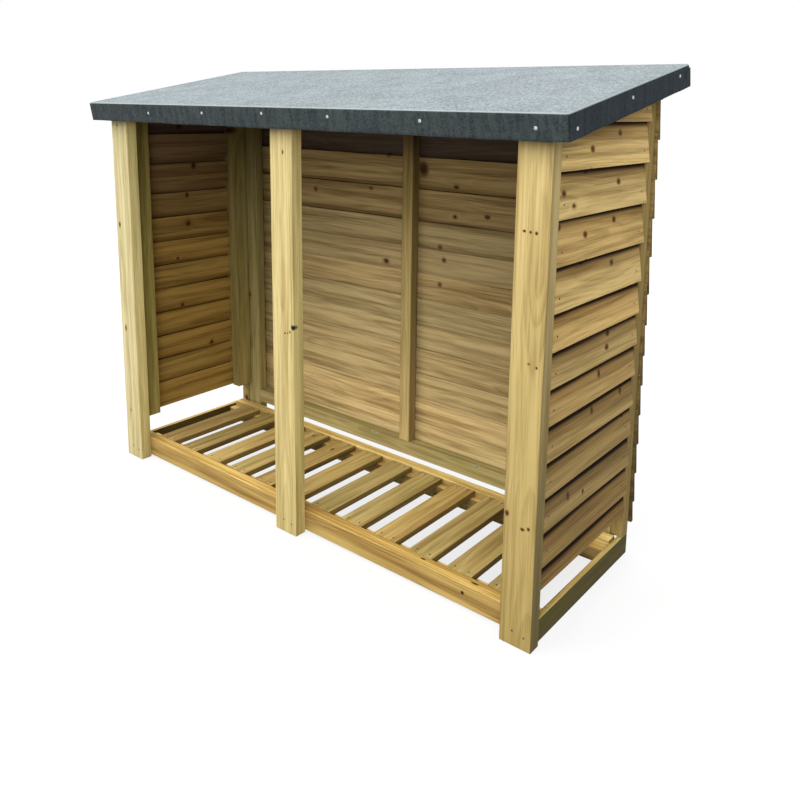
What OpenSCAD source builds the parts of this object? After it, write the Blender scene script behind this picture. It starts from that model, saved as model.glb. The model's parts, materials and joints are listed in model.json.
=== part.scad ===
// Open-fronted log store in pressure-treated softwood under a felted pent roof.
// +X is the viewer's right, the open front faces -Y, +Z is up.
// The origin is on the ground under the middle of the roof.

/* [Overall] */
// Width over the outer faces of the two outer front posts
store_w = 1720; // [1400:10:2400]
// Depth from the front of the posts to the outer face of the back frame
frame_d = 563; // [480:1:900]
// Height of the front posts at their front edge
front_h = 1270; // [1150:5:1500]
// Fall of the roof towards the front, in degrees
roof_pitch = 11.5; // [6:0.5:18]

/* [Front posts] */
// Width of a post across the front
post_w = 89; // [60:1:110]
// Thickness of a post from front to back
post_t = 38; // [28:1:50]

/* [Base] */
// Height of the beams and rails of the base
rail_h = 63; // [50:1:80]
// Thickness of the front and rear beams
beam_t = 38; // [28:1:50]
// Thickness of the side rails
side_rail_t = 16; // [14:1:30]
// Height of the front and rear beams above the ground
beam_lift = 8; // [0:1:20]
// Distance of the side rails inside the outer faces of the posts
rail_inset = 8; // [6:1:20]
// Air gap between the rear beam and the back frame
rear_gap = 16; // [5:1:40]

/* [Floor] */
// Width of a floor slat
slat_w = 83; // [60:1:100]
// Thickness of a floor slat
slat_t = 18; // [14:1:24]
// Width of the ledgers that carry the slat ends
ledger_w = 30; // [20:1:40]
// Height of the ledgers that carry the slat ends
ledger_h = 44; // [18:1:46]
// Gap between an outer slat and the side rail beside it
slat_end_gap = 70.6; // [40:0.1:90]
// Gap at each end of a slat
slat_fit = 0.5; // [0.3:0.1:2]

/* [Panel frames] */
// Side of the square battens in the rear corners, and thickness of those in the side panels
batten = 38; // [30:1:45]
// Width of the battens in the side panels
side_batten_w = 62; // [38:1:75]
// Width of the middle batten on the back
back_batten_w = 44; // [34:1:60]
// Width of the legs at the two ends of the back
back_leg_w = 69; // [50:1:90]
// Thickness of the legs, batten and rails on the back
back_batten_t = 35; // [28:1:45]
// Distance of the middle batten on the back to the right of the middle
back_batten_shift = 25; // [-60:1:60]
// Height of the bottom rail on the back
back_rail_h = 50; // [40:1:70]
// Height of the underside of that rail above the ground
back_rail_z = 76; // [70:1:110]
// Height of the rails that carry the roof at front and rear
top_rail_h = 63; // [45:1:75]

/* [Overlap boards] */
// Width of a full board, edge to edge
board_w = 125; // [116:1:132]
// Thickness of a board at its lower edge
board_low_t = 12; // [10:0.5:14]
// Thickness of a board at its upper edge
board_top_t = 5; // [4:0.5:6]
// Distance that a lower edge stands off the battens to clear the board below
board_lean = 10.6; // [10.6:0.1:13]
// Stand-off of the bottom board of a panel
first_lean = 7; // [5:0.5:7]
// Height of the lower edge of the side panels above the ground
side_z = 144; // [115:1:160]
// Height of the lower edge of the back boards above the ground
back_z = 95; // [80:1:120]
// Height of the bottom board that is left uncovered
first_cover = 62; // [60:1:69]
// Height of each lower board that is left uncovered
lower_cover = 89; // [85:1:92]
// Number of boards laid at that cover, above the bottom board
lower_rows = 7; // [5:1:8]
// Height of each upper board that is left uncovered
upper_cover = 107; // [95:1:110]
// Gap left at board ends
board_fit = 0.5; // [0.3:0.1:2]

/* [Roof] */
// Thickness of the roof deck
deck_t = 12; // [9:1:18]
// Height of the edge boards under the deck
fascia_h = 45; // [30:1:60]
// Thickness of the edge boards
fascia_t = 18; // [12:1:22]
// Thickness of the roofing felt
felt_t = 3; // [2:0.5:4]
// Roof overhang beyond the outer faces of the posts
overhang_side = 55; // [40:1:100]
// Roof overhang beyond the front of the posts
overhang_front = 45; // [36:1:90]
// Roof overhang beyond the outer face of the back frame
overhang_back = 50; // [48:1:120]
// Clearance between the deck and what carries it
seat = 0.3; // [0.2:0.1:0.5]

/* [Hidden] */
half_w = store_w / 2;
pitch_rise = tan(roof_pitch);
// Outer and inner faces of the side rails, from the middle
rail_out = half_w - rail_inset;
rail_in = rail_out - side_rail_t;
// Outer face of the side panels' battens: the boards reach as far as the posts do
board_reach = board_lean + board_low_t;
board_margin = 1.4;
// Lap of the upper boards
upper_lap = board_w - upper_cover;
panel_x = half_w - board_reach - board_margin;
// Outer and inner faces of the legs of the back, from the middle
leg_out = rail_out - batten;
leg_in = leg_out - back_leg_w;
// Places along the depth
beam_back = post_t + beam_t;
back_face = frame_d - back_batten_t;
rear_beam_back = back_face - rear_gap;
rear_beam_front = rear_beam_back - beam_t;
corner_front = frame_d - batten;
// Floor: one node for each slat
slats_n = 12;
floor_z = beam_lift + rail_h;
slat_first = slat_end_gap - rail_in;
slat_pitch = (-2 * slat_first - slat_w) / (slats_n - 1);
// Roof tray, measured along and square to the slope
tray_front = -overhang_front / cos(roof_pitch);
tray_back = (frame_d + overhang_back) / cos(roof_pitch);
tray_half_w = half_w + overhang_side;
tray_top = seat + deck_t + felt_t;
tray_low = seat - fascia_h;
tray_y0 = tray_front * cos(roof_pitch) - tray_top * sin(roof_pitch);
tray_y1 = tray_back * cos(roof_pitch) - tray_low * sin(roof_pitch);
centre_y = (tray_y0 + tray_y1) / 2;

// Height of the roof's seating line at depth y
function roof_z(y) = front_h + y * pitch_rise;

// Lower edge of board row i in a panel that starts at height z0
function row_z(i, z0) =
    i == 0 ? z0
    : i <= lower_rows + 1 ? z0 + first_cover + (i - 1) * lower_cover
    : z0 + first_cover + lower_rows * lower_cover + (i - lower_rows - 1) * upper_cover;

// Width of board row i: the bottom board is ripped down so that its lap stays the same
function row_w(i) = i == 0 ? board_w - (lower_cover - first_cover) : board_w;

// Number of rows that start below height z
function rows_below(z, z0, i = 0) = row_z(i, z0) < z ? rows_below(z, z0, i + 1) : i;

// The part's frame: everything is drawn from the post fronts back, then centred under the roof
module place() {
    translate([0, -centre_y, 0]) children();
}

// An upright piece cut to the roof slope, with its foot at height z0
module upright(x0, x1, y0, y1, z0) {
    place()
        translate([x0, 0, 0])
            rotate([90, 0, 90])
                linear_extrude(x1 - x0)
                    polygon([[y0, z0], [y1, z0], [y1, roof_z(y1)], [y0, roof_z(y0)]]);
}

// A level squared piece
module bar(x0, x1, y0, y1, z0, z1) {
    place()
        translate([x0, y0, z0])
            cube([x1 - x0, y1 - y0, z1 - z0]);
}

// A cross rail under the roof, bevelled to its slope
module cross_rail(x0, x1, y0, y1) {
    place()
        translate([x0, 0, 0])
            rotate([90, 0, 90])
                linear_extrude(x1 - x0)
                    polygon([[y0, roof_z(y0) - top_rail_h], [y1, roof_z(y0) - top_rail_h],
                             [y1, roof_z(y1)], [y0, roof_z(y0)]]);
}

// Section of one tapered board: x is the distance off the battens, y is the height.
// The top board of a panel is ripped to end at height top_z.
module board_section(i, z0, top_z) {
    lean = i == 0 ? first_lean : board_lean;
    z = row_z(i, z0);
    z1 = min(z + row_w(i), top_z);
    polygon([[lean, z], [lean + board_low_t, z], [board_top_t, z1], [0, z1]]);
}

// Side panel boards on the right, running from the post to the corner batten
module side_boards() {
    y0 = post_t + board_fit;
    y1 = corner_front - board_fit;
    rows = rows_below(roof_z(y1) - upper_lap, side_z);
    place()
        intersection() {
            for (i = [0:rows - 1])
                translate([panel_x, y1, 0])
                    rotate([90, 0, 0])
                        linear_extrude(y1 - y0)
                            board_section(i, side_z, roof_z(y1));
            translate([0, 0, -seat])
                rotate([90, 0, 90])
                    linear_extrude(tray_half_w)
                        polygon([[0, 0], [frame_d, 0], [frame_d, roof_z(frame_d)], [0, roof_z(0)]]);
        }
}

// A slab in the roof's sloping frame: along the slope from a0 to a1, square to it from n0 to n1
module tray_slab(x0, x1, a0, a1, n0, n1) {
    place()
        translate([0, 0, front_h])
            rotate([roof_pitch, 0, 0])
                translate([x0, a0, n0])
                    cube([x1 - x0, a1 - a0, n1 - n0]);
}

module front_post_left() {
    color("khaki") upright(-half_w, post_w - half_w, 0, post_t, 0);
}

module front_post_middle() {
    color("khaki") upright(-post_w / 2, post_w / 2, 0, post_t, 0);
}

module front_post_right() {
    color("khaki") upright(half_w - post_w, half_w, 0, post_t, 0);
}

module front_beam() {
    color("peru") bar(-rail_in, rail_in, post_t, beam_back, beam_lift, floor_z);
}

module rear_beam() {
    color("peru") bar(-rail_in, rail_in, rear_beam_front, rear_beam_back, beam_lift, floor_z);
}

module side_rail(side) {
    color("olive")
        mirror([side < 0 ? 1 : 0, 0, 0])
            bar(rail_in, rail_out, post_t, frame_d, 0, rail_h);
}

module ledger(y0) {
    color("peru")
        bar(-rail_in, rail_in, y0, y0 + ledger_w, floor_z - slat_t - ledger_h, floor_z - slat_t);
}

module floor_slat(k) {
    x0 = slat_first + k * slat_pitch;
    color("tan")
        bar(x0, x0 + slat_w, beam_back + slat_fit, rear_beam_front - slat_fit, floor_z - slat_t, floor_z);
}

module side_batten(side, y0) {
    color("darkkhaki")
        mirror([side < 0 ? 1 : 0, 0, 0])
            upright(panel_x - batten, panel_x, y0, y0 + side_batten_w, side_z);
}

module corner_batten(side) {
    color("khaki")
        mirror([side < 0 ? 1 : 0, 0, 0])
            upright(rail_out - batten, rail_out, corner_front, frame_d, rail_h);
}

module left_boards() {
    color("burlywood") mirror([1, 0, 0]) side_boards();
}

module right_boards() {
    color("burlywood") side_boards();
}

module back_leg(side) {
    color("darkkhaki")
        mirror([side < 0 ? 1 : 0, 0, 0])
            bar(leg_in, leg_out, back_face, frame_d, 0, roof_z(back_face) - top_rail_h);
}

module back_batten_middle() {
    x0 = back_batten_shift - back_batten_w / 2;
    color("darkkhaki")
        bar(x0, x0 + back_batten_w, back_face, frame_d, back_rail_z + back_rail_h, roof_z(back_face) - top_rail_h);
}

module back_bottom_rail() {
    color("darkkhaki") bar(-leg_in, leg_in, back_face, frame_d, back_rail_z, back_rail_z + back_rail_h);
}

// Back boards run the full width behind the corner battens, up to the roof
module back_boards() {
    reach = half_w - board_margin;
    top_z = roof_z(frame_d) - seat;
    rows = rows_below(top_z - upper_lap, back_z);
    color("burlywood")
        place()
            for (i = [0:rows - 1])
                translate([-reach, frame_d, 0])
                    rotate([90, 0, 90])
                        linear_extrude(2 * reach)
                            board_section(i, back_z, top_z);
}

module front_top_rail() {
    color("darkkhaki") cross_rail(batten - panel_x, panel_x - batten, post_t, beam_back);
}

module rear_top_rail() {
    color("darkkhaki") cross_rail(-leg_out, leg_out, back_face, frame_d);
}

module roof_deck() {
    edge = tray_half_w - felt_t;
    color("wheat")
        tray_slab(-edge, edge, tray_front + felt_t, tray_back - felt_t, seat, seat + deck_t);
}

module front_fascia() {
    edge = tray_half_w - felt_t;
    color("sienna")
        tray_slab(-edge, edge, tray_front + felt_t, tray_front + felt_t + fascia_t, tray_low, seat);
}

module back_fascia() {
    edge = tray_half_w - felt_t;
    color("sienna")
        tray_slab(-edge, edge, tray_back - felt_t - fascia_t, tray_back - felt_t, tray_low, seat);
}

module side_fascia(side) {
    edge = tray_half_w - felt_t;
    color("sienna")
        mirror([side < 0 ? 1 : 0, 0, 0])
            tray_slab(edge - fascia_t, edge, tray_front + felt_t + fascia_t, tray_back - felt_t - fascia_t,
                      tray_low, seat);
}

// One sheet of felt over the deck, turned down over the edge boards all round
module roof_felt() {
    edge = tray_half_w - felt_t;
    color("slategray")
        difference() {
            tray_slab(-tray_half_w, tray_half_w, tray_front, tray_back, tray_low, tray_top);
            tray_slab(-edge, edge, tray_front + felt_t, tray_back - felt_t, tray_low - felt_t, tray_top - felt_t);
        }
}

front_post_left();
front_post_middle();
front_post_right();
front_beam();
rear_beam();
side_rail(-1);  // side_rail_left
side_rail(1);  // side_rail_right
ledger(beam_back);  // front_ledger
ledger(rear_beam_front - ledger_w);  // rear_ledger
floor_slat(0);  // floor_slat_01
floor_slat(1);  // floor_slat_02
floor_slat(2);  // floor_slat_03
floor_slat(3);  // floor_slat_04
floor_slat(4);  // floor_slat_05
floor_slat(5);  // floor_slat_06
floor_slat(6);  // floor_slat_07
floor_slat(7);  // floor_slat_08
floor_slat(8);  // floor_slat_09
floor_slat(9);  // floor_slat_10
floor_slat(10);  // floor_slat_11
floor_slat(11);  // floor_slat_12
side_batten(-1, post_t);  // left_front_batten
side_batten(-1, corner_front - side_batten_w);  // left_rear_batten
side_batten(1, post_t);  // right_front_batten
side_batten(1, corner_front - side_batten_w);  // right_rear_batten
corner_batten(-1);  // left_corner_batten
corner_batten(1);  // right_corner_batten
left_boards();
right_boards();
back_leg(-1);  // back_leg_left
back_leg(1);  // back_leg_right
back_batten_middle();
back_bottom_rail();
back_boards();
front_top_rail();
rear_top_rail();
roof_deck();
front_fascia();
back_fascia();
side_fascia(-1);  // left_fascia
side_fascia(1);  // right_fascia
roof_felt();
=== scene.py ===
"""Looks of the open-fronted log store: treated softwood, tapered boards, mineral felt and galvanised clout nails."""

import json
import math
import random
import zlib

import bmesh
import bpy
from mathutils import Matrix, Vector, noise
from mathutils.bvhtree import BVHTree


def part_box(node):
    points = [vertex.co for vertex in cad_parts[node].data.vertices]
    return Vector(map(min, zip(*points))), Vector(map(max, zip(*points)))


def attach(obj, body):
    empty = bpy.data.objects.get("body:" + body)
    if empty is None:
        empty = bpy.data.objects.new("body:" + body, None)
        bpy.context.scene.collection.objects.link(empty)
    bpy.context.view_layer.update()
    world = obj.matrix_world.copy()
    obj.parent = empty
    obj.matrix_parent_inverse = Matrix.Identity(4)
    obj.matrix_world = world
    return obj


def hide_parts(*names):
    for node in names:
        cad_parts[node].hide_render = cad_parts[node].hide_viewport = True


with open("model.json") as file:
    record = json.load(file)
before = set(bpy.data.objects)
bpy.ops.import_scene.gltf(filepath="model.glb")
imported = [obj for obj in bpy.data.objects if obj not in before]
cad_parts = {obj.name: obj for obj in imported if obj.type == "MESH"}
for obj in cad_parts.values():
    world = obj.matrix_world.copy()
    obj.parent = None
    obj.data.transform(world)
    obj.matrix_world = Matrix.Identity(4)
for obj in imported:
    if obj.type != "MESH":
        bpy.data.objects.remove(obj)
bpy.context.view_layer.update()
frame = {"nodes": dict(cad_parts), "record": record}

# Camera, as fitted to the photograph
IMAGE = 800
FOCAL_PX = 782.4
CENTRE_PX = (432.1, 250.0)
CAMERA_AT = (1.6763, -1.7630, 1.2818)
CAMERA_AZIMUTH = math.radians(37.586)
CAMERA_DOWN = math.radians(10.311)
CAMERA_ROLL = math.radians(1.154)
SENSOR = 36.0

# Colours, as linear light
WHITE = (1.0, 1.0, 1.0)
POST_LIGHT, POST_DARK = (0.62, 0.485, 0.22), (0.35, 0.25, 0.09)
BASE_LIGHT, BASE_DARK = (0.63, 0.44, 0.16), (0.27, 0.15, 0.04)
SLAT_LIGHT, SLAT_DARK = (0.61, 0.45, 0.17), (0.31, 0.20, 0.060)
BATTEN_LIGHT, BATTEN_DARK = (0.54, 0.42, 0.175), (0.27, 0.20, 0.07)
BOARD_LIGHT, BOARD_DARK = (0.63, 0.46, 0.20), (0.26, 0.165, 0.055)
DECK_LIGHT, DECK_DARK = (0.36, 0.25, 0.12), (0.22, 0.14, 0.06)
KNOT, KNOT_HEART, KNOT_RIM = (0.17, 0.08, 0.026), (0.035, 0.016, 0.007), (0.40, 0.24, 0.08)
PALE_KNOT, MARK_HEART = (0.26, 0.145, 0.055), 0.4
GREEN_WASH = (0.72, 0.86, 0.60)
# Sides of rails that don't face up: green treatment with painted shade
SIDE_GREEN_AND_SHADE = (0.19, 0.21, 0.165)
# Painted shadow under the laps of boards: a dark line and a soft shade
LAP_SHADOW, LAP_SHADE = (0.06, 0.04, 0.025), (0.56, 0.49, 0.41)
# End grain: darker partly by its own tone and partly by painted shade
END_GRAIN_AND_SHADE = (0.38, 0.34, 0.28)
# Pale and dark stains, and painted shade for the top of the middle batten
PALE_STAIN, DARK_STAIN, BATTEN_TOP_SHADE = (0.40, 0.43, 0.25), (0.05, 0.06, 0.022), (0.20, 0.14, 0.065)
FELT_TOP, FELT_TOP_DARK = (0.345, 0.398, 0.42), (0.122, 0.143, 0.153)
FELT_SIDE, FELT_SIDE_DARK = (0.064, 0.081, 0.083), (0.015, 0.020, 0.022)
# Felt worn pale along the bend, and painted shade for the gable ends
FELT_WORN, GABLE_SHADE = (0.36, 0.41, 0.42), (0.60, 0.64, 0.74)
ZINC = (0.66, 0.67, 0.68)
NAIL_STEEL = (0.085, 0.075, 0.065)
# Shine and roughness
WOOD_SHINE, FELT_SHINE = 0.12, 0.25
FELT_ROUGH, FLOOR_ROUGH = 0.88, 0.9
ZINC_ROUGH, ZINC_METAL = 0.38, 0.85
STEEL_ROUGH, STEEL_METAL = 0.6, 0.2

# Light: the sky's strength before the store and behind it, and at the horizon and overhead
SKY_WAY, SKY_BEFORE, SKY_BEHIND = (0.42, 0.907, 0.0), 2.4, 0.4
SKY_HORIZON, SKY_OVERHEAD = 0.45, 1.35
SKY_COLOUR = (0.98, 0.99, 1.0)
# Lamps, as name, place, size, power and colour, all turned to one point
LAMP_AIM = (0.0, 0.0, 0.6)
LAMPS = (
    ("key", (-3.0, -4.6, 5.2), (5.0, 5.0), 155.0, (1.0, 0.95, 0.86)),
    ("fill", (4.4, -5.4, 2.2), (3.0, 3.0), 95.0, (1.0, 0.98, 0.94)),
    ("rear", (-1.5, 6.0, 3.0), (4.0, 3.0), 120.0, (1.0, 0.98, 0.94)),
)
# Floor: its colour to the lamps and to the camera, the share of glow that the camera sees, its reach, and its drop
# below the ground so that no face lies in the store's own
FLOOR_LIT, FLOOR_SEEN, FLOOR_GLOW = (0.10, 0.10, 0.095), (0.85, 0.85, 0.85), 0.8
FLOOR_REACH, FLOOR_DROP = 30.0, 0.0005

# Sizes in metres
ARRIS, BOARD_ARRIS = 0.0022, 0.0012
ARRIS_TURN = math.radians(25)
STATION = 0.06
BOARD_WANDER = 0.0013
FOOT_REACH = 1.2
RINGS_PER_METRE = 170.0
# Laps of boards: where the painted shadow line is full and where it ends, and how far the painted soft shade reaches
LAP_NEAR, LAP_FAR, LAP_REACH = 0.004, 0.017, 0.070
# The height below which the painted lap shadow reaches further down, and how much further for each metre below it
LAP_SHADOW_TOP, LAP_SHADOW_GROWTH = 1.25, 0.014
# The step inside: how far its painted shadow line is held back, and how many times thinner it is
LAP_INSIDE, LAP_THIN = 0.007, 2.2
# Board ends: where the painted shade of the corners begins on the inner faces, from the middle, and how dark it is
END_REACH, END_SHADE = 0.69, (0.50, 0.50, 0.44)
# How far the tint of single timbers and boards strays
SPREAD, BOARD_SPREAD = 0.10, 0.07
# Felt sheet: the skirt's levels are shares of its depth, and it stands off by a mean, a slow wave and a quick one
FELT_THICK, FELT_BEND, FELT_CORNER, FELT_FIELD, FELT_SPACING = 0.0026, 0.006, 0.008, 0.025, 0.05
BEND_TURNS = tuple(math.radians(a) for a in (0, 30, 60, 90))
SKIRT_LEVELS = (0.3, 0.5, 0.7, 0.88, 1.0)
SKIRT_PUSH, SKIRT_SWAY, SKIRT_RIPPLE = 0.0012, 0.0016, 0.0008
HEM_SWAY, HEM_RIPPLE = 0.0016, 0.0022
SHEET_WEAR, EAR_WEAR = 0.8, 0.0
# Felt ears: the corner below the top, then those above the hem, each with its distance in from the roof's corner
EAR_TOP, EAR_HEM = (0.005, 0.009), ((0.004, 0.001), (0.030, 0.0025), (0.062, 0.002))
EAR_INNER, EAR_OUTER, EAR_ARRIS = 0.0005, 0.0036, 0.0008
# Nails: heads, and how far off the surface the search for their place starts
CLOUT_RADIUS, CLOUT_RISE = 0.0045, 0.0018
NAIL_RADIUS, NAIL_RISE = 0.0028, 0.0006
HEAD_SIDES, HEAD_PROFILE = 12, ((1.0, -0.4), (1.0, 0.3), (0.82, 0.72), (0.45, 0.95))
STAND_OFF, BOARD_STAND_OFF = 0.05, 0.3
# Clout nails: place along the edge, and share of the way down the skirt
FRONT_CLOUTS = ((-0.568, 0.49), (-0.292, 0.39), (-0.025, 0.32), (0.229, 0.37), (0.53, 0.42), (0.838, 0.54))
SIDE_CLOUTS = ((0.03, 0.62), (0.31, 0.40), (0.60, 0.36))
# Wire nails: slats, each side of the middle and in from the end; posts, in from the left edge and above the ground;
# boards, above the lower edge
SLAT_NAIL_SIDE, SLAT_NAIL_END = 0.022, 0.015
POST_NAILS = ((0.036, 0.040), (0.069, 0.034), (0.040, 1.224), (0.062, 1.216))
BOARD_NAIL = 0.032

# Wood of each kind
WOODS = {
    "post_wood": dict(light=POST_LIGHT, dark=POST_DARK, knots=0.05, green=0.15, sawn=0.1),
    "base_wood": dict(light=BASE_LIGHT, dark=BASE_DARK, knots=0.08, green=0.2, sawn=0.3),
    "rail_wood": dict(light=BASE_LIGHT, dark=BASE_DARK, knots=0.08, green=0.5, sawn=0.3, side_green_and_shade=SIDE_GREEN_AND_SHADE),
    "slat_wood": dict(light=SLAT_LIGHT, dark=SLAT_DARK, knots=0.08, green=0.25, sawn=0.5),
    "batten_wood": dict(light=BATTEN_LIGHT, dark=BATTEN_DARK, knots=0.08, green=0.4, sawn=0.5),
    "board_wood": dict(light=BOARD_LIGHT, dark=BOARD_DARK, knots=0.06, green=0.15, sawn=0.6, figure=0.22),
    "deck_wood": dict(light=DECK_LIGHT, dark=DECK_DARK, knots=0.1, green=0.1, sawn=0.5),
}
# Single knots and stains: the faces that they lie on, and how deep they go
POST_FRONT, BEAM_FRONT, BEAM_TOP = -0.287, -0.249, 0.071
SIDE, BACK, BACK_FRAME = 0.852, 0.281, 0.241
DEEP, SHALLOW = 0.020, 0.009
# Knots on the boards, by distance along them and height
SIDE_KNOTS = ((0.065, 1.23), (-0.09, 1.195), (-0.105, 1.145), (0.07, 1.11), (-0.215, 1.10), (0.06, 1.015),
              (-0.225, 1.025), (-0.10, 0.995), (-0.105, 0.93), (0.06, 0.905), (0.06, 0.72), (0.05, 0.685))
SIDE_PALE_KNOTS = ((0.02, 0.62), (-0.01, 0.53), (0.16, 0.535), (-0.12, 0.34))
BACK_KNOTS = ((-0.09, 1.12), (-0.17, 1.0), (0.195, 1.03), (0.32, 0.945))
BACK_PALE_KNOTS = ((-0.45, 0.975), (0.135, 0.825), (0.155, 0.785), (0.14, 0.70))


def on_post(*rows):
    """Marks on the front of a post, each given as x, height, half width, half height and colour."""
    return tuple(((x, POST_FRONT, z), (width, DEEP, height), colour) for x, z, width, height, colour in rows)


# Timbers that differ from the rest of their kind: more knots, knots and stains at places of their own, and painted
# shade at the top of the middle batten
OWN_WOOD = {
    "right_boards": dict(knots=0.08, marks=(
        *(((SIDE, y, z), (DEEP, 0.013, 0.010), KNOT) for y, z in SIDE_KNOTS),
        *(((SIDE, y, z), (DEEP, 0.010, 0.014), PALE_KNOT) for y, z in SIDE_PALE_KNOTS))),
    "left_boards": dict(knots=0.2),
    "back_boards": dict(marks=(
        *(((x, BACK, z), (0.014, SHALLOW, 0.009), KNOT) for x, z in BACK_KNOTS),
        *(((x, BACK, z), (0.012, SHALLOW, 0.012), PALE_KNOT) for x, z in BACK_PALE_KNOTS),
        # A large dark patch in the knot colour, right of the middle batten
        ((0.063, BACK, 1.083), (0.024, SHALLOW, 0.030), KNOT))),
    # Painted shade over the top of the middle batten, under the roof
    "back_batten_middle": dict(marks=(((0.03, 0.24, 1.30), (0.06, 0.06, 0.19), BATTEN_TOP_SHADE),)),
    "back_bottom_rail": dict(marks=(
        ((-0.113, BACK_FRAME, 0.118), (0.018, DEEP, 0.005), PALE_STAIN),
        ((0.337, BACK_FRAME, 0.122), (0.014, DEEP, 0.005), PALE_STAIN))),
    "front_post_right": dict(marks=on_post(
        (0.796, 1.018, 0.005, 0.004, KNOT), (0.812, 1.017, 0.004, 0.004, KNOT), (0.827, 1.016, 0.005, 0.005, KNOT),
        (0.822, 0.717, 0.006, 0.004, KNOT_RIM), (0.842, 0.712, 0.004, 0.004, KNOT), (0.780, 0.339, 0.007, 0.009, KNOT),
        (0.824, 0.312, 0.007, 0.005, KNOT), (0.840, 0.318, 0.005, 0.005, KNOT))),
    "front_post_middle": dict(marks=on_post(
        (0.041, 0.652, 0.008, 0.009, KNOT_HEART), (0.008, 0.630, 0.004, 0.004, KNOT),
        (0.019, 0.632, 0.003, 0.003, KNOT), (0.029, 0.637, 0.004, 0.004, KNOT), (0.009, 1.152, 0.004, 0.008, KNOT))),
    "front_post_left": dict(marks=on_post(
        (-0.840, 0.858, 0.007, 0.012, KNOT), (-0.835, 0.485, 0.006, 0.014, KNOT), (-0.826, 1.202, 0.004, 0.007, KNOT),
        (-0.830, 0.176, 0.006, 0.010, KNOT_RIM))),
    "front_beam": dict(marks=(
        ((0.632, BEAM_FRONT, 0.046), (0.006, 0.015, 0.006), KNOT_HEART),
        ((0.482, BEAM_FRONT + 0.026, BEAM_TOP), (0.010, 0.004, 0.010), DARK_STAIN),
        ((0.656, BEAM_FRONT + 0.022, BEAM_TOP), (0.014, 0.004, 0.010), DARK_STAIN))),
}

# Tints of the boards: outside, at the top and at the foot, and inside from the bottom row up, painted light low
# down and painted shade under the roof
OUTSIDE, OUTSIDE_FOOT = (1.58, 1.54, 1.44), (0.46, 0.41, 0.33)
BACK_INSIDE_SHADING = ((0.0, (1.24, 1.30, 1.46)), (0.5, (0.71, 0.72, 0.78)), (0.75, (0.74, 0.74, 0.74)),
               (0.78, (0.19, 0.19, 0.31)))
SIDE_INSIDE_SHADING = ((0.0, (0.70, 0.62, 0.37)), (0.5, (0.57, 0.50, 0.33)), (0.8, (0.26, 0.23, 0.31)),
               (0.9, (0.11, 0.11, 0.40)))
# Boards: their outward side, the painted light and shade inside, the share of rows from which the steps inside get
# a painted shadow line, and the battens that they are nailed to
BOARD_SIDES = {
    "left_boards": (Vector((-1, 0, 0)), SIDE_INSIDE_SHADING, 0.0, ("left_front_batten", "left_rear_batten")),
    "right_boards": (Vector((1, 0, 0)), SIDE_INSIDE_SHADING, 0.0, ("right_front_batten", "right_rear_batten")),
    "back_boards": (Vector((0, 1, 0)), BACK_INSIDE_SHADING, 0.62, ("back_leg_left", "back_batten_middle", "back_leg_right")),
}
# Tints of single timbers at the top and at the foot
TINTS = {
    "front_post_left": ((1.14, 1.33, 1.75), (1.08, 1.22, 1.52)),
    "front_post_middle": ((1.09, 1.18, 1.30), (1.01, 1.07, 1.10)),
    "front_post_right": ((1.0, 1.0, 0.98), (0.66, 0.63, 0.50)),
    # Battens and legs inside: painted shade, darker towards the roof; the middle batten also painted light low down
    "left_front_batten": ((0.44, 0.48, 0.37), (0.80, 0.86, 0.66)),
    "left_rear_batten": ((0.42, 0.42, 0.36), (0.93, 0.92, 0.82)),
    "back_leg_left": ((0.42, 0.42, 0.38), (0.95, 0.95, 0.90)),
    "back_batten_middle": ((0.72, 0.68, 0.62), (1.30, 1.30, 1.45)),
    "back_bottom_rail": (WHITE, (0.90, 0.99, 1.10)),
    "front_beam": (WHITE, (0.94, 0.92, 0.84)),
    "left_corner_batten": ((0.74, 0.69, 0.64), (0.74, 0.69, 0.64)),
    "right_corner_batten": ((0.74, 0.69, 0.64), (0.55, 0.52, 0.46)),
}
# Painted light and shade on faces square to an axis, at the top and at the foot, by timber or by kind: lit sides
# of the posts, shaded sides of the middle batten and the slats, shaded low sides of the right post, lit tops of the
# base
PAINTED_FLANKS = {
    "front_post_left": ((0, (1.22, 1.22, 1.0), (1.22, 1.22, 1.0)),),
    "front_post_middle": ((0, (1.20, 1.24, 1.14), (1.20, 1.24, 1.14)),),
    "front_post_right": ((0, (1.04, 1.06, 1.12), (0.42, 0.43, 0.50)),),
    "back_batten_middle": ((0, (0.62, 0.63, 0.64), (0.62, 0.63, 0.64)),),
    "base_wood": ((2, WHITE, (1.66, 1.70, 1.64)),),
    "slat_wood": ((0, WHITE, (0.46, 0.42, 0.34)),),
}


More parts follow.
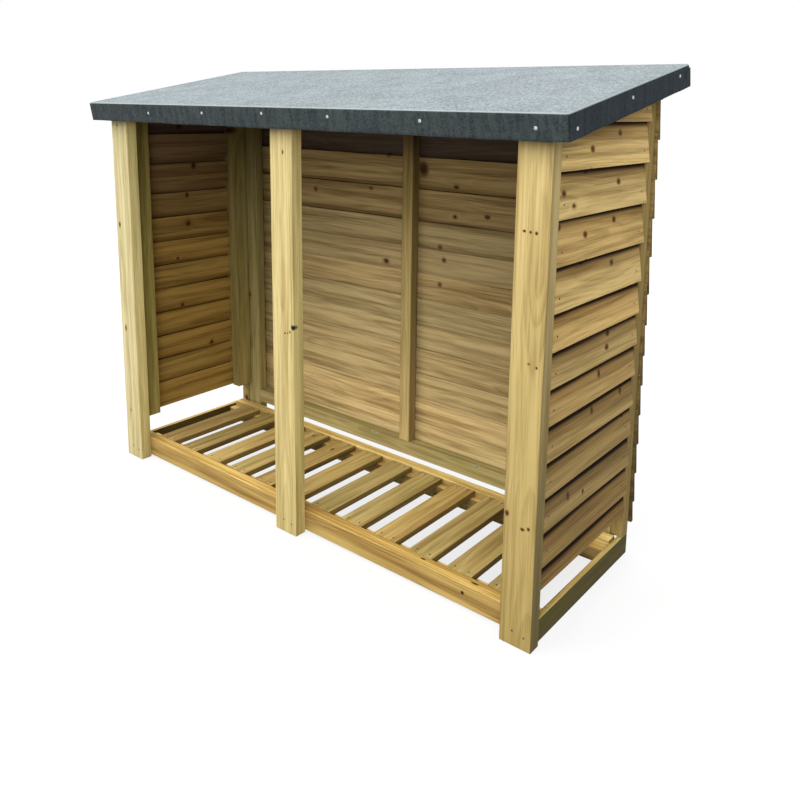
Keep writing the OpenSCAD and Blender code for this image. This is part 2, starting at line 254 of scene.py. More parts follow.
class Graph:
    """A material's node tree, with short calls for the nodes that the finishes use."""

    def __init__(self, name):
        self.material = bpy.data.materials.new(name)
        self.material.use_nodes = True
        self.tree = self.material.node_tree
        self.tree.nodes.clear()
        self.surface = self.node("ShaderNodeBsdfPrincipled")
        output = self.node("ShaderNodeOutputMaterial")
        self.tree.links.new(self.surface.outputs["BSDF"], output.inputs["Surface"])

    def node(self, kind, **settings):
        made = self.tree.nodes.new(kind)
        for name, value in settings.items():
            setattr(made, name, value)
        return made

    def feed(self, socket, value):
        if isinstance(value, bpy.types.NodeSocket):
            self.tree.links.new(value, socket)
        elif isinstance(value, tuple) and socket.type == "RGBA":
            socket.default_value = (*value[:3], 1.0)
        else:
            socket.default_value = value

    def attribute(self, name):
        return self.node("ShaderNodeAttribute", attribute_name=name)

    def math(self, operation, a, b=0.0, clamp=False):
        made = self.node("ShaderNodeMath", operation=operation, use_clamp=clamp)
        self.feed(made.inputs[0], a)
        self.feed(made.inputs[1], b)
        return made.outputs[0]

    def vector(self, operation, a, b=(0.0, 0.0, 0.0)):
        made = self.node("ShaderNodeVectorMath", operation=operation)
        self.feed(made.inputs[0], a)
        self.feed(made.inputs[1], b)
        return made.outputs["Value" if operation in ("LENGTH", "DOT_PRODUCT") else "Vector"]

    def split(self, vector):
        made = self.node("ShaderNodeSeparateXYZ")
        self.feed(made.inputs[0], vector)
        return made.outputs

    def join(self, x, y, z):
        made = self.node("ShaderNodeCombineXYZ")
        for socket, value in zip(made.inputs, (x, y, z)):
            self.feed(socket, value)
        return made.outputs[0]

    def noise(self, vector, scale=1.0, detail=2.0, rough=0.5):
        made = self.node("ShaderNodeTexNoise")
        self.feed(made.inputs["Vector"], vector)
        made.inputs["Scale"].default_value = scale
        made.inputs["Detail"].default_value = detail
        made.inputs["Roughness"].default_value = rough
        return made.outputs

    def step(self, value, low, high, to_low=0.0, to_high=1.0):
        made = self.node("ShaderNodeMapRange", interpolation_type="SMOOTHSTEP")
        for socket, given in zip(made.inputs, (value, low, high, to_low, to_high)):
            self.feed(socket, given)
        return made.outputs[0]

    def mix(self, share, a, b, blend="MIX"):
        made = self.node("ShaderNodeMix", data_type="RGBA", blend_type=blend)
        self.feed(made.inputs[0], share)
        self.feed(made.inputs[6], a)
        self.feed(made.inputs[7], b)
        return made.outputs[2]

    def bump(self, height, strength, distance):
        made = self.node("ShaderNodeBump")
        made.inputs["Strength"].default_value = strength
        made.inputs["Distance"].default_value = distance
        self.feed(made.inputs["Height"], height)
        self.feed(self.surface.inputs["Normal"], made.outputs[0])


def wood(name, light, dark, knots, green, sawn, figure=0.3, side_green_and_shade=None, marks=()):
    """Softwood cut from a log: growth rings about a wandering pith, branch knots, fibres and a green treatment wash.
    Faces that don't look up take the side colour, where there is one: green treatment with painted shade. End grain is
    darker, partly its own tone and partly painted shade; the laps of boards carry painted shadow. Marks are single
    knots, stains and patches of painted shade, as (centre, reach, colour), darker at heart."""
    g = Graph(name)
    grain = g.attribute("grain").outputs["Vector"]
    tint = g.attribute("tint").outputs["Color"]
    drift = g.vector("SUBTRACT", g.noise(g.vector("MULTIPLY", grain, (1.4, 4.0, 4.0)))["Color"], (0.5, 0.5, 0.5))
    bent = g.vector("ADD", grain, g.vector("MULTIPLY", drift, (0.0, 0.05, 0.05)))
    along, across, through = g.split(bent)
    radius = g.vector("LENGTH", g.vector("MULTIPLY", bent, (0.0, 1.0, 1.0)))
    angle = g.math("ARCTAN2", through, across)

    cells = g.node("ShaderNodeTexVoronoi", voronoi_dimensions="2D")
    g.feed(cells.inputs["Vector"], g.join(g.math("MULTIPLY", along, 9.0), g.math("MULTIPLY", angle, 0.9), 0.0))
    cells.inputs["Scale"].default_value = 1.0
    cells.inputs["Randomness"].default_value = 0.8
    chance, girth, _ = g.split(cells.outputs["Color"])
    here = g.math("LESS_THAN", chance, knots)
    ragged = g.math("MULTIPLY", g.noise(g.vector("MULTIPLY", grain, (60.0, 90.0, 90.0)))[0], 0.05)
    size = g.step(girth, 0.0, 1.0, 0.05, 0.13)
    apart = g.math("DIVIDE", g.math("ADD", cells.outputs["Distance"], g.math("SUBTRACT", ragged, 0.025)), size)
    knot = g.math("MULTIPLY", here, g.step(apart, 1.35, 0.5))
    rim = g.math("MULTIPLY", here, g.step(apart, 2.4, 0.9))
    swirl = g.math("MULTIPLY", here, g.step(apart, 3.2, 0.6))

    fibre = g.noise(g.vector("MULTIPLY", grain, (9.0, 420.0, 420.0)), detail=3.0)[0]
    streak = g.noise(g.vector("MULTIPLY", grain, (1.6, 46.0, 46.0)), detail=2.0)[0]
    pace = g.math("MULTIPLY", g.noise(g.join(0.0, g.math("MULTIPLY", radius, 28.0), 0.0), detail=3.0)[0], 5.0)
    pace = g.math("ADD", pace, g.math("MULTIPLY", swirl, 0.7))
    phase = g.math("ADD", g.math("MULTIPLY", radius, RINGS_PER_METRE), pace)
    ring = g.math("FRACT", g.math("ADD", phase, g.math("MULTIPLY", fibre, 0.5)))
    late = g.math("MULTIPLY", g.step(ring, 0.2, 0.85), g.step(ring, 1.0, 0.88))
    shade = g.math("ADD", g.math("MULTIPLY", late, figure), g.step(fibre, 0.3, 0.7, 0.0, 0.42))
    shade = g.math("ADD", shade, g.step(streak, 0.3, 0.72, -0.25, 0.5), clamp=True)
    body = g.mix(shade, light, dark)

    patch = g.noise(g.vector("MULTIPLY", grain, (3.0, 14.0, 14.0)), detail=4.0, rough=0.6)[0]
    wash = g.math("MULTIPLY", g.step(patch, 0.42, 0.72), green)
    body = g.mix(wash, body, g.mix(1.0, body, GREEN_WASH, "MULTIPLY"))
    body = g.mix(g.math("MULTIPLY", rim, 0.45), body, KNOT_RIM)
    body = g.mix(knot, body, g.mix(g.step(g.math("ADD", apart, fibre), 0.5, 1.3), KNOT_HEART, KNOT))
    # Faces that don't look up: green treatment with painted shade
    if side_green_and_shade:
        level = g.step(g.split(g.node("ShaderNodeNewGeometry").outputs["Normal"])[2], 0.3, 0.8)
        body = g.mix(level, g.mix(1.0, body, side_green_and_shade, "MULTIPLY"), body)
    place = g.node("ShaderNodeTexCoord").outputs["Object"]
    for centre, reach, colour in marks:
        offset = g.vector("DIVIDE", g.vector("SUBTRACT", place, centre), reach)
        near = g.math("ADD", g.vector("LENGTH", offset), g.math("MULTIPLY", fibre, 0.6))
        heart = g.mix(g.step(near, 1.15, 0.45), colour, tuple(MARK_HEART * c for c in colour))
        body = g.mix(g.step(near, 1.5, 0.8), body, heart)
    # Painted shadow under each lap: a soft shade reaching down and a dark line at the lap, which is also rougher
    uneven = g.math("MULTIPLY", g.math("SUBTRACT", streak, 0.5), 0.012)
    lap = g.math("ADD", g.attribute("lap").outputs["Fac"], uneven)
    body = g.mix(g.step(lap, -LAP_REACH, -LAP_NEAR), body, g.mix(1.0, body, LAP_SHADE, "MULTIPLY"))
    lap_shadow = g.step(lap, -LAP_FAR, -LAP_NEAR)
    body = g.mix(lap_shadow, body, g.mix(1.0, body, LAP_SHADOW, "MULTIPLY"))
    # End grain darker, partly its own tone and partly painted shade
    body = g.mix(g.attribute("end").outputs["Fac"], body, g.mix(1.0, body, END_GRAIN_AND_SHADE, "MULTIPLY"))
    g.feed(g.surface.inputs["Base Color"], g.mix(1.0, body, tint, "MULTIPLY"))
    g.feed(g.surface.inputs["Roughness"], g.math("MAXIMUM", g.step(shade, 0.0, 1.0, 0.74, 0.6), lap_shadow))
    g.surface.inputs["Specular IOR Level"].default_value = WOOD_SHINE
    saw = g.noise(g.vector("MULTIPLY", grain, (260.0, 60.0, 60.0)), detail=1.0)[0]
    relief = g.math("ADD", g.math("MULTIPLY", fibre, 0.6), g.math("MULTIPLY", late, 0.3))
    relief = g.math("ADD", relief, g.math("MULTIPLY", saw, sawn))
    g.bump(g.math("SUBTRACT", relief, g.math("MULTIPLY", knot, 0.4)), 0.5, 0.0009)
    return g.material


def mineral_felt(name, wear):
    """Mineral-surfaced roofing felt: coarse grit, bleached on top by the weather and dark slate on the turned-down
    edges, with upright streaks there, painted shade on the gable ends, and worn pale along the bend. Folds that don't
    wear are dark all over."""
    g = Graph(name)
    place = g.node("ShaderNodeTexCoord").outputs["Object"]
    facing = g.split(g.node("ShaderNodeNewGeometry").outputs["Normal"])
    up = g.step(facing[2], 0.45, 0.9)
    grit = g.node("ShaderNodeTexVoronoi")
    g.feed(grit.inputs["Vector"], place)
    grit.inputs["Scale"].default_value = 300.0
    speck = g.split(grit.outputs["Color"])[0]
    clump = g.noise(place, 130.0, 2.0, 0.7)[0]
    cloud = g.noise(place, 9.0, 5.0, 0.65)[0]
    drag = g.noise(g.vector("MULTIPLY", place, (30.0, 160.0, 160.0)), 1.0, 3.0, 0.6)[0]
    share = g.math("ADD", g.math("MULTIPLY", speck, 0.55), g.math("MULTIPLY", cloud, 0.5))
    share = g.math("ADD", share, g.math("ADD", g.math("MULTIPLY", drag, 0.3), g.math("MULTIPLY", clump, 0.7)))
    share = g.step(share, 0.55, 1.5)
    top = g.mix(share, FELT_TOP, FELT_TOP_DARK)
    band = g.noise(g.vector("MULTIPLY", place, (70.0, 70.0, 5.0)), 1.0, 2.0, 0.6)[0]
    side = g.math("ADD", g.math("MULTIPLY", share, 0.6), g.step(band, 0.3, 0.7, 0.0, 0.4))
    side = g.mix(side, FELT_SIDE, FELT_SIDE_DARK)
    # Painted shade on the gable ends
    gable_shade = g.step(g.math("ABSOLUTE", facing[0]), 0.5, 0.9)
    side = g.mix(gable_shade, side, g.mix(1.0, side, GABLE_SHADE, "MULTIPLY"))
    worn = g.math("MULTIPLY", g.step(facing[2], 0.3, 0.6), g.step(facing[2], 0.975, 0.88))
    body = g.mix(up, side, top) if wear else side
    g.feed(g.surface.inputs["Base Color"], g.mix(g.math("MULTIPLY", worn, wear), body, FELT_WORN))
    g.surface.inputs["Roughness"].default_value = FELT_ROUGH
    g.surface.inputs["Specular IOR Level"].default_value = FELT_SHINE
    g.bump(g.math("ADD", grit.outputs["Distance"], g.math("MULTIPLY", cloud, 0.6)), 0.5, 0.0012)
    return g.material


def metal(name, colour, rough, shine):
    """Dull nail metal, mottled by zinc or rust."""
    g = Graph(name)
    place = g.node("ShaderNodeTexCoord").outputs["Object"]
    mottle = g.noise(place, 420.0, 3.0, 0.6)[0]
    g.feed(g.surface.inputs["Base Color"], g.mix(mottle, colour, tuple(0.6 * c for c in colour)))
    g.surface.inputs["Metallic"].default_value = shine
    g.feed(g.surface.inputs["Roughness"], g.step(mottle, 0.2, 0.8, rough, rough + 0.2))
    g.bump(mottle, 0.2, 0.0004)
    return g.material


def solids_of(bm):
    """The vertices of each separate solid in bm, in a fixed order from the lowest one up."""
    left, found = set(bm.verts), []
    while left:
        stack, group = [left.pop()], []
        while stack:
            vertex = stack.pop()
            group.append(vertex)
            for edge in vertex.link_edges:
                other = edge.other_vert(vertex)
                if other in left:
                    left.remove(other)
                    stack.append(other)
        low = Vector(min(v.co[i] for v in group) for i in range(3))
        high = Vector(max(v.co[i] for v in group) for i in range(3))
        found.append((low, high, group))
    return sorted(found, key=lambda s: (round(s[0].z, 4), round(s[0].x, 4), round(s[0].y, 4)))


def shell_of(node):
    """A CAD node's solids as a mesh that can be edited, with plain flat faces."""
    bm = bmesh.new()
    bm.from_mesh(frame["nodes"][node].data)
    bmesh.ops.remove_doubles(bm, verts=bm.verts, dist=1e-5)
    bmesh.ops.dissolve_limit(bm, angle_limit=math.radians(1.0), verts=bm.verts, edges=bm.edges)
    return bm


def finish_mesh(name, bm, finish, nodes):
    """The piece made from bm, riding on the body and standing for those CAD nodes."""
    mesh = bpy.data.meshes.new(name)
    bm.normal_update()
    bm.to_mesh(mesh)
    bm.free()
    piece = bpy.data.objects.new(name, mesh)
    bpy.context.scene.collection.objects.link(piece)
    mesh.materials.append(finish)
    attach(piece, "root")
    if nodes:
        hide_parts(*nodes)
    return piece


def soften(piece, angle=40.0):
    """Smooth shading across the rounded arrises only."""
    mesh = piece.data
    mesh.polygons.foreach_set("use_smooth", [True] * len(mesh.polygons))
    mesh.set_sharp_from_angle(angle=math.radians(angle))
    weighted = piece.modifiers.new("flat_faces", "WEIGHTED_NORMAL")
    weighted.keep_sharp = True


def ramp(stops, share):
    """The colour at that share of the way along (share, colour) stops."""
    for (low, first), (high, second) in zip(stops, stops[1:]):
        if share <= high:
            return Vector(first).lerp(Vector(second), max(share - low, 0.0) / (high - low))
    return Vector(stops[-1][1])


def eased_shell(node, arris):
    """A CAD node's solids with eased arrises and cuts along the grain, and the axis that the grain follows."""
    bm = shell_of(node)
    sharp = [e for e in bm.edges if len(e.link_faces) == 2 and e.calc_face_angle() > ARRIS_TURN]
    bmesh.ops.bevel(bm, geom=sharp, offset=arris, segments=2, profile=0.6, affect="EDGES", clamp_overlap=True)
    low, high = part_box(node)
    first_low, first_high, _ = solids_of(bm)[0]
    sides = first_high - first_low
    axis = max(range(3), key=lambda i: sides[i])
    plane = Vector((0.0, 0.0, 0.0))
    plane[axis] = 1.0
    for k in range(1, int((high[axis] - low[axis]) / STATION)):
        geometry = bm.verts[:] + bm.edges[:] + bm.faces[:]
        bmesh.ops.bisect_plane(bm, geom=geometry, dist=1e-6, plane_co=low + plane * STATION * k, plane_no=plane)
    bm.normal_update()
    return bm, axis


def timber(node, finish, slot, arris=ARRIS, wander=0.0, outward=None, tint=WHITE, foot=WHITE, painted_flanks=(), inside_shading=(),
           lined=0.0, spread=SPREAD):
    """A dressed copy of a CAD node's solids: eased arrises, slight wander along the grain, and each solid's own log.
    The tint turns into that of the foot towards the ground, and the painted flanks put painted light and shade on the
    faces square to an axis. Boards have an outward side, and their inner faces take their row's painted light and
    shade inside, with painted shade near their ends. The lap above a board carries a painted shadow, reaching further
    down on lower rows, and so does the step inside from the board below, on rows from that share up."""
    bm, axis = eased_shell(node, arris)
    grain_of, tint_of, lap_of = {}, {}, {}
    solids = solids_of(bm)
    for index, (low, high, group) in enumerate(solids):
        rng = random.Random(zlib.crc32(f"{node}.{index}".encode()))
        centre, sides = (low + high) / 2, high - low
        cross = sorted((i for i in range(3) if i != axis), key=lambda i: -sides[i])
        pith = (rng.uniform(-0.3, 0.3) * sides[cross[0]], rng.choice((-1, 1)) * rng.uniform(0.045, 0.11))
        start, phase = rng.uniform(0.0, 40.0), rng.uniform(0.0, 99.0)
        level = 1.0 + rng.uniform(-spread, spread)
        warm = rng.uniform(-0.5, 0.5) * spread
        shades = (level * (1 + warm), level, level * (1 - warm))
        next_z = solids[index + 1][0].z if outward and index + 1 < len(solids) else low.z + 9.0
        last_top = solids[index - 1][1].z if index else low.z - 9.0
        row = index / len(solids)
        for vertex in group:
            rel = vertex.co - centre
            grain_of[vertex] = (rel[axis] + start, rel[cross[0]] - pith[0], rel[cross[1]] - pith[1])
            outer = not outward or vertex.normal.dot(outward) > 0.2
            inner = not outer and abs(rel[axis]) < sides[axis] / 2 - 2 * arris
            height = min(vertex.co.z / FOOT_REACH, 1.0)
            own = Vector(foot).lerp(Vector(tint), height)
            lap_of[vertex] = -1.0
            if outward and outer:
                # Painted shadow below the lap, reaching further down on lower rows
                lap_of[vertex] = vertex.co.z - next_z + LAP_SHADOW_GROWTH * max(LAP_SHADOW_TOP - next_z, 0.0)
            elif inner:
                # Painted light and shade inside, by row, darkest under the roof
                own = ramp(inside_shading, row)
                # Painted shade in the corners at the boards' ends
                if abs(rel[axis]) > END_REACH:
                    own = own * Vector(END_SHADE)
                # Painted shadow line at the step inside from the board below
                if row >= lined:
                    lap_of[vertex] = LAP_THIN * (last_top - vertex.co.z) - LAP_INSIDE
            # Painted shade on the boards' ends past the inner faces
            elif outward:
                own = own * Vector(END_SHADE)
            # Painted light and shade on faces square to an axis
            for side, top, bottom in painted_flanks:
                if abs(vertex.normal[side]) > 0.7:
                    own = own * Vector(bottom).lerp(Vector(top), height)
            tint_of[vertex] = (*(a * b for a, b in zip(shades, own)), 1.0)
            if wander:
                where = vertex.co[axis]
                lift = noise.noise((where * 2.1, phase, 0.0)) + 0.35 * noise.noise((where * 11.0, phase, 5.0))
                vertex.co[cross[0]] += wander * lift
                if outward:
                    vertex.co += outward * wander * abs(noise.noise((where * 1.7, phase, 9.0)))
    bm.verts.index_update()
    grains = [x for v in bm.verts for x in grain_of[v]]
    shades = [x for v in bm.verts for x in tint_of[v]]
    laps = [lap_of[v] for v in bm.verts]
    ends = [float(abs(f.normal[axis]) > 0.6) for f in bm.faces]
    piece = finish_mesh(node + "_timber", bm, finish, (node,))
    piece.data.attributes.new("grain", "FLOAT_VECTOR", "POINT").data.foreach_set("vector", grains)
    piece.data.attributes.new("tint", "FLOAT_COLOR", "POINT").data.foreach_set("color", shades)
    piece.data.attributes.new("lap", "FLOAT", "POINT").data.foreach_set("value", laps)
    piece.data.attributes.new("end", "FLOAT", "FACE").data.foreach_set("value", ends)
    soften(piece)
    return piece


def roof_frame():
    """The felted roof's own frame: axes along X, up the slope and square to it, and the felt's reach in each."""
    mesh = frame["nodes"]["roof_felt"].data
    top = max(mesh.polygons, key=lambda p: p.area * (p.normal.z > 0.5))
    out = top.normal.copy()
    across = Vector((1.0, 0.0, 0.0))
    slope = out.cross(across)
    turn = Matrix((across, slope, out))
    points = [turn @ v.co for v in mesh.vertices]
    low = Vector(min(p[i] for p in points) for i in range(3))
    high = Vector(max(p[i] for p in points) for i in range(3))
    return turn.transposed(), low, high


def rounded_loop(x0, x1, a0, a1, corner, spacing):
    """Points of a rounded rectangle, as (x, a, outward x, outward a)."""
    points = []
    corners = ((x1 - corner, a0 + corner, -90), (x1 - corner, a1 - corner, 0),
               (x0 + corner, a1 - corner, 90), (x0 + corner, a0 + corner, 180))
    runs = (a1 - a0, x1 - x0, a1 - a0, x1 - x0)
    for (cx, ca, start), run in zip(corners, runs):
        for k in range(5):
            turn = math.radians(start + 22.5 * k)
            way = (math.cos(turn), math.sin(turn))
            points.append((cx + corner * way[0], ca + corner * way[1], *way))
        count = int(run / spacing)
        turn = math.radians(start + 90)
        leave = points[-1]
        along = (-math.sin(turn), math.cos(turn))
        length = run - 2 * corner
        for k in range(1, count):
            d = length * k / count
            points.append((leave[0] + along[0] * d, leave[1] + along[1] * d, math.cos(turn), math.sin(turn)))
    return points


def felt_piece(finish):
    """One sheet of felt over the deck: a flat field, bent edges and wavy turned-down skirts."""
    turn, low, high = roof_frame()
    bm = bmesh.new()
    skirt = high.z - low.z
    levels = [(FELT_FIELD, 0.0)]
    levels += [(FELT_BEND * (1 - math.sin(a)), FELT_BEND * (1 - math.cos(a))) for a in BEND_TURNS]
    levels += [(0.0, skirt * share) for share in SKIRT_LEVELS]
    base = rounded_loop(low.x, high.x, low.y, high.y, FELT_CORNER, FELT_SPACING)
    loops = []
    for inset, drop in levels:
        loop = []
        for x, a, ox, oa in base:
            sway = noise.noise((x * 6.0, a * 6.0, 3.0))
            ripple = noise.noise((x * 17.0, a * 17.0, 8.0))
            deep = drop / skirt
            near_x = min(max(x, low.x + inset), high.x - inset) if inset > FELT_BEND else x - ox * inset
            near_a = min(max(a, low.y + inset), high.y - inset) if inset > FELT_BEND else a - oa * inset
            push = deep * (SKIRT_PUSH + SKIRT_SWAY * sway + SKIRT_RIPPLE * ripple)
            hem = deep ** 3 * (HEM_RIPPLE * ripple + HEM_SWAY * sway)
            local = Vector((near_x + ox * push, near_a + oa * push, high.z - drop + hem))
            loop.append(bm.verts.new(turn @ local))
        loops.append(loop)
    for upper, lower in zip(loops, loops[1:]):
        for k in range(len(base)):
            n = (k + 1) % len(base)
            bm.faces.new((upper[k], lower[k], lower[n], upper[n]))
    bm.faces.new(loops[0])
    bmesh.ops.remove_doubles(bm, verts=bm.verts, dist=1e-5)
    bmesh.ops.recalc_face_normals(bm, faces=bm.faces)
    piece = finish_mesh("roof_felt_sheet", bm, finish, ("roof_felt",))
    thick = piece.modifiers.new("felt_thickness", "SOLIDIFY")
    thick.thickness = FELT_THICK
    thick.offset = -1.0
    soften(piece, 55.0)
    return piece


def felt_ears(finish):
    """The felt folded over itself at each corner: a thin triangular ear lying on the side skirt."""
    turn, low, high = roof_frame()
    bm = bmesh.new()
    for x, way in ((low.x, -1), (high.x, 1)):
        for a, inward in ((low.y, 1), (high.y, -1)):
            flat = [(a + inward * EAR_TOP[0], high.z - EAR_TOP[1])]
            flat += [(a + inward * d, low.z + rise) for d, rise in EAR_HEM]
            inner = [bm.verts.new(turn @ Vector((x + way * EAR_INNER, p, q))) for p, q in flat]
            outer = [bm.verts.new(turn @ Vector((x + way * EAR_OUTER, p, q))) for p, q in flat]
            bm.faces.new(inner)
            bm.faces.new(outer)
            for k in range(4):
                n = (k + 1) % 4
                bm.faces.new((inner[k], inner[n], outer[n], outer[k]))
    bmesh.ops.recalc_face_normals(bm, faces=bm.faces)
    bmesh.ops.bevel(bm, geom=bm.edges[:], offset=EAR_ARRIS, segments=2, profile=0.6, affect="EDGES")
    return finish_mesh("felt_corner_ears", bm, finish, ())


def nail_head(bm, at, out, radius, rise):
    """A shallow domed nail head standing on the surface at that point."""
    side = out.orthogonal().normalized()
    other = out.cross(side)
    loops = []
    for reach, height in HEAD_PROFILE:
        loop = []
        for k in range(HEAD_SIDES):
            turn = math.tau * k / HEAD_SIDES
            flat = side * math.cos(turn) + other * math.sin(turn)
            loop.append(bm.verts.new(at + flat * radius * reach + out * rise * height))
        loops.append(loop)
    for lower, upper in zip(loops, loops[1:]):
        for k in range(HEAD_SIDES):
            n = (k + 1) % HEAD_SIDES
            bm.faces.new((lower[k], lower[n], upper[n], upper[k]))
    tip = bm.verts.new(at + out * rise)
    for k in range(HEAD_SIDES):
        bm.faces.new((loops[-1][k], loops[-1][(k + 1) % HEAD_SIDES], tip))
    bm.faces.new(list(reversed(loops[0])))


def drive(bm, targets, starts, direction, radius, rise):
    """Nail heads where rays from those points first meet one of the pieces."""
    graph = bpy.context.evaluated_depsgraph_get()
    trees = [BVHTree.FromObject(piece, graph) for piece in targets]
    for start in starts:
        hits = [tree.ray_cast(Vector(start), direction) for tree in trees]
        hits = [hit for hit in hits if hit[0] is not None]
        if hits:
            at, out, _, _ = min(hits, key=lambda hit: hit[3])
            nail_head(bm, at, out, radius, rise)


def timbers():
    """A dressed timber for each CAD node but the felt, in the finish of its kind or in its own."""
    slots = {s["node"]: s["material_slot"] for s in frame["record"]["subparts"]}
    finishes = {slot: wood(slot.replace("_wood", "_softwood"), **look) for slot, look in WOODS.items()}
    made = {}
    for node in sorted(frame["nodes"]):
        if node == "roof_felt":
            continue
        slot = slots[node]
        finish = finishes[slot]
        if node in OWN_WOOD:
            finish = wood(node + "_softwood", **{**WOODS[slot], **OWN_WOOD[node]})
        head, foot = TINTS.get(node, (WHITE, WHITE))
        options = dict(tint=head, foot=foot, painted_flanks=PAINTED_FLANKS.get(node, PAINTED_FLANKS.get(slot, ())))
        if node in BOARD_SIDES:
            way, inside_shading, lined, _ = BOARD_SIDES[node]
            options = dict(arris=BOARD_ARRIS, wander=BOARD_WANDER, outward=way, tint=OUTSIDE, foot=OUTSIDE_FOOT,
                           inside_shading=inside_shading, lined=lined, spread=BOARD_SPREAD)
        made[node] = timber(node, finish, slot, **options)
    return made


def clout_nails(felts):
    """Clout nails through the felt's skirts on all four sides."""
    turn, low, high = roof_frame()
    across, up_slope = Vector((1.0, 0.0, 0.0)), turn @ Vector((0.0, 1.0, 0.0))
    bm = bmesh.new()

    def clout(x, a, share, direction):
        start = turn @ Vector((x, a, high.z - share * (high.z - low.z)))
        drive(bm, felts, [start], direction, CLOUT_RADIUS, CLOUT_RISE)

    for x, share in FRONT_CLOUTS:
        clout(x, low.y - STAND_OFF, share, up_slope)
        clout(-x, high.y + STAND_OFF, share, -up_slope)
    for d, share in SIDE_CLOUTS:
        clout(low.x - STAND_OFF, low.y + d, share, across)
        clout(high.x + STAND_OFF, low.y + d, share, -across)
    finish_mesh("clout_nails", bm, metal("galvanised", ZINC, ZINC_ROUGH, ZINC_METAL), ())


def wire_nails(made):
    """Wire nails at the slats' ends, at the posts' feet and heads, and in every board at its battens."""
    bm = bmesh.new()
    for node in sorted(n for n in frame["nodes"] if n.startswith("floor_slat_")):
        low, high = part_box(node)
        middle = (low.x + high.x) / 2
        starts = [(middle + side, y, high.z + STAND_OFF) for side in (-SLAT_NAIL_SIDE, SLAT_NAIL_SIDE)
                  for y in (low.y + SLAT_NAIL_END, high.y - SLAT_NAIL_END)]
        drive(bm, (made[node],), starts, Vector((0.0, 0.0, -1.0)), NAIL_RADIUS, NAIL_RISE)
    for node in ("front_post_left", "front_post_middle", "front_post_right"):
        low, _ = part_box(node)
        starts = [(low.x + x, low.y - STAND_OFF, z) for x, z in POST_NAILS]
        drive(bm, (made[node],), starts, Vector((0.0, 1.0, 0.0)), NAIL_RADIUS, NAIL_RISE)
    for node, (way, _, _, battens) in BOARD_SIDES.items():
        shell = shell_of(node)
        rows = [low.z for low, _, _ in solids_of(shell)]
        shell.free()
        for batten in battens:
            low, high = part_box(batten)
            middle = (low + high) / 2
            starts = [Vector((middle.x, middle.y, z + BOARD_NAIL)) + way * BOARD_STAND_OFF for z in rows]
            drive(bm, (made[node],), starts, -way, NAIL_RADIUS, NAIL_RISE)
    finish_mesh("wire_nails", bm, metal("nail_steel", NAIL_STEEL, STEEL_ROUGH, STEEL_METAL), ())


def photo_camera():
    """The camera that was fitted to the photograph."""
    az, down, roll = CAMERA_AZIMUTH, CAMERA_DOWN, CAMERA_ROLL
    look = Vector((-math.sin(az) * math.cos(down), math.cos(az) * math.cos(down), -math.sin(down)))
    right = Vector((math.cos(az), math.sin(az), 0.0))
    up = right.cross(look)
    right, up = right * math.cos(roll) + up * math.sin(roll), up * math.cos(roll) - right * math.sin(roll)
    camera = bpy.data.objects.new("camera", bpy.data.cameras.new("camera"))
    bpy.context.scene.collection.objects.link(camera)
    camera.matrix_world = Matrix.Translation(CAMERA_AT) @ Matrix((right, up, -look)).transposed().to_4x4()
    camera.data.sensor_width = SENSOR
    camera.data.lens = FOCAL_PX / IMAGE * SENSOR
    camera.data.shift_x = (IMAGE / 2 - CENTRE_PX[0]) / IMAGE
    camera.data.shift_y = (CENTRE_PX[1] - IMAGE / 2) / IMAGE
    bpy.context.scene.camera = camera


def pale_ground():
    """Floor that reads white to the camera and still takes the store's shadow."""
    mesh = bpy.data.meshes.new("floor")
    corners = [(FLOOR_REACH * x, FLOOR_REACH * y, 0) for x, y in ((-1, -1), (1, -1), (1, 1), (-1, 1))]
    mesh.from_pydata(corners, [], [(0, 1, 2, 3)])
    floor = bpy.data.objects.new("floor", mesh)
    floor.location.z = -FLOOR_DROP
    bpy.context.scene.collection.objects.link(floor)
    g = Graph("pale_floor")
    glow = g.node("ShaderNodeEmission")
    path = g.node("ShaderNodeLightPath")
    seen = g.math("MAXIMUM", path.outputs["Is Camera Ray"], path.outputs["Is Glossy Ray"])
    g.feed(g.surface.inputs["Base Color"], g.mix(seen, FLOOR_LIT, FLOOR_SEEN))
    g.surface.inputs["Roughness"].default_value = FLOOR_ROUGH
    blend = g.node("ShaderNodeMixShader")
    g.feed(blend.inputs[0], g.math("MULTIPLY", seen, FLOOR_GLOW))
    g.tree.links.new(g.surface.outputs[0], blend.inputs[1])
    g.tree.links.new(glow.outputs[0], blend.inputs[2])
    output = next(n for n in g.tree.nodes if n.type == "OUTPUT_MATERIAL")
    g.tree.links.new(blend.outputs[0], output.inputs["Surface"])
    mesh.materials.append(g.material)


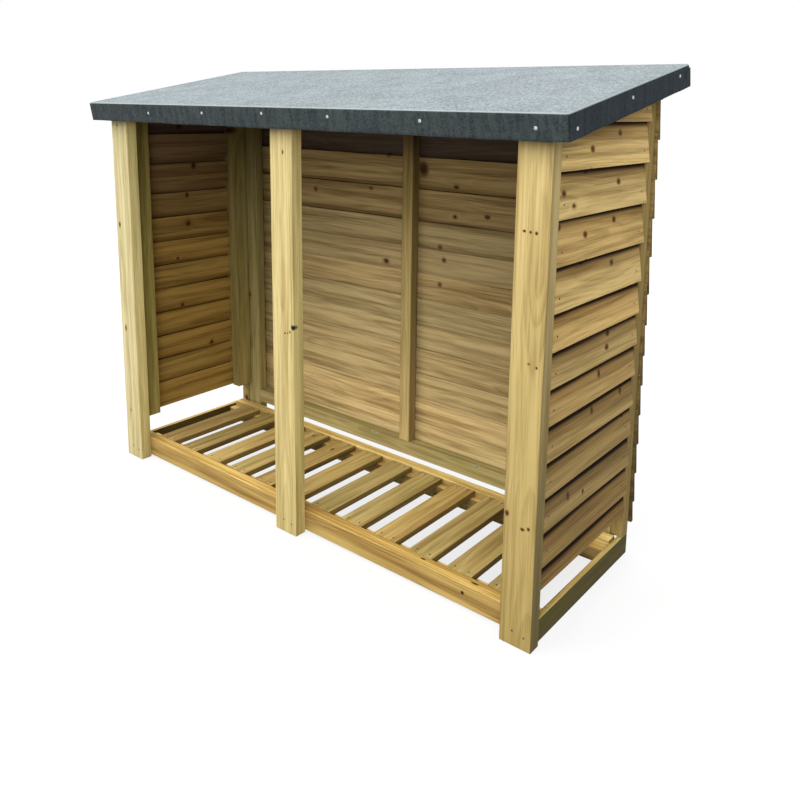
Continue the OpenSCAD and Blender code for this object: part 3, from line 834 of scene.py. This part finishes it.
def sky():
    """Overcast light: dim at the horizon, bright overhead, stronger before the store, and white to the camera."""
    world = bpy.data.worlds.new("studio")
    bpy.context.scene.world = world
    world.use_nodes = True
    tree = world.node_tree
    tree.nodes.clear()
    add, link = tree.nodes.new, tree.links.new
    levels = []
    for axis, at_low, at_high, low in ((SKY_WAY, SKY_BEFORE, SKY_BEHIND, -1.0),
                                       ((0.0, 0.0, 1.0), SKY_HORIZON, SKY_OVERHEAD, 0.0)):
        part, level = add("ShaderNodeVectorMath"), add("ShaderNodeMapRange")
        part.operation = "DOT_PRODUCT"
        part.inputs[1].default_value = axis
        link(add("ShaderNodeTexCoord").outputs["Generated"], part.inputs[0])
        for name, value in (("From Min", low), ("From Max", 1.0), ("To Min", at_low), ("To Max", at_high)):
            level.inputs[name].default_value = value
        link(part.outputs["Value"], level.inputs["Value"])
        levels.append(level)
    strength, seen = add("ShaderNodeMath"), add("ShaderNodeMath")
    strength.operation, seen.operation = "MULTIPLY", "MAXIMUM"
    path, soft, white = add("ShaderNodeLightPath"), add("ShaderNodeBackground"), add("ShaderNodeBackground")
    blend, output = add("ShaderNodeMixShader"), add("ShaderNodeOutputWorld")
    soft.inputs["Color"].default_value = (*SKY_COLOUR, 1.0)
    white.inputs["Color"].default_value = (*WHITE, 1.0)
    for k in range(2):
        link(levels[k].outputs[0], strength.inputs[k])
    link(strength.outputs[0], soft.inputs["Strength"])
    link(path.outputs["Is Camera Ray"], seen.inputs[0])
    link(path.outputs["Is Glossy Ray"], seen.inputs[1])
    link(seen.outputs[0], blend.inputs[0])
    link(soft.outputs[0], blend.inputs[1])
    link(white.outputs[0], blend.inputs[2])
    link(blend.outputs[0], output.inputs[0])


def lamp(name, at, size, power, colour):
    """A soft lamp turned to the store."""
    data = bpy.data.lights.new(name, "AREA")
    data.shape = "RECTANGLE"
    data.size, data.size_y = size
    data.energy = power
    data.color = colour
    made = bpy.data.objects.new(name, data)
    made.location = at
    made.rotation_euler = (Vector(LAMP_AIM) - Vector(at)).to_track_quat("-Z", "Y").to_euler()
    bpy.context.scene.collection.objects.link(made)


pieces = timbers()
clout_nails((felt_piece(mineral_felt("mineral_felt", SHEET_WEAR)), felt_ears(mineral_felt("folded_felt", EAR_WEAR))))
wire_nails(pieces)
photo_camera()
pale_ground()
sky()
for light in LAMPS:
    lamp(*light)
bpy.context.scene.view_settings.view_transform = "Standard"
